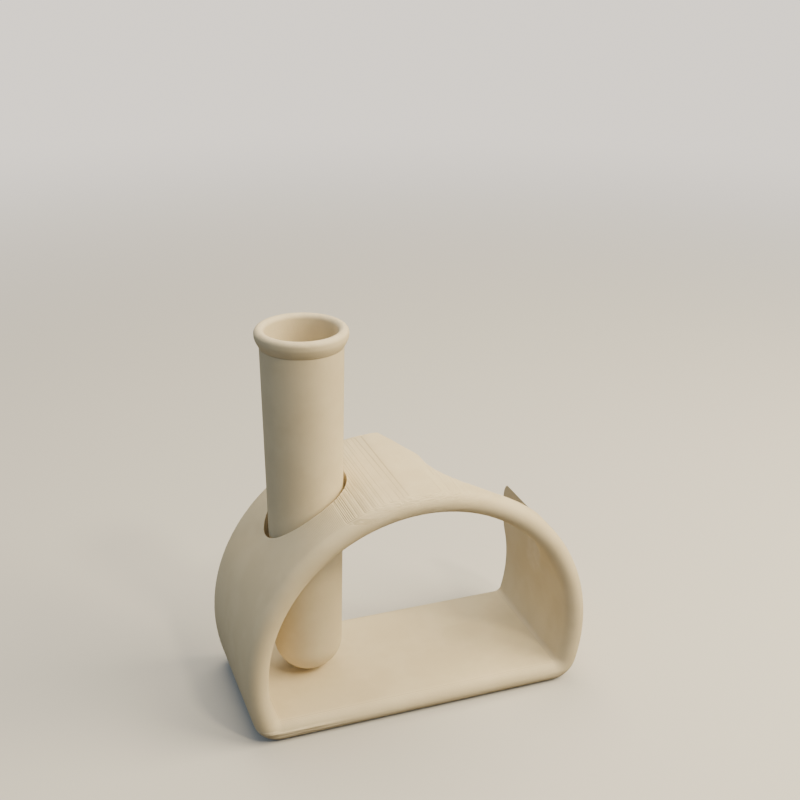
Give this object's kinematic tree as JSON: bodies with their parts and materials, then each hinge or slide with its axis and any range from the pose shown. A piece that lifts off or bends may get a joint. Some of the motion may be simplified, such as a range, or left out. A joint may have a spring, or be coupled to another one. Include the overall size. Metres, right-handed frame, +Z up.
{
  "type": "toothbrush holder",
  "caption": "Arched bathroom stand with a lipped, round-ended brush cup that lifts out of a hole in its roof, and an open-backed slot for a tube.",
  "frame": {"origin": "on the table, under the middle of the arch: the centre of the base of the whole part's box", "axes": "+X to the right seen from the front, +Y towards the back, +Z up"},
  "size_m": [0.134, 0.06, 0.1474],
  "materials": {
    "arch_plastic": "matte cream printed plastic with fine layer lines",
    "cup_plastic": "matte cream plastic, smooth"
  },
  "bodies": {
    "arch": {"arch_body": "arch_plastic"},
    "cup": {"brush_cup": "cup_plastic"}
  },
  "joints": [
    {"name": "cup_lift", "type": "slide", "parent": "arch", "child": "cup", "axis": [0, 0, 1], "range_m": [0, 0.1]}
  ]
}
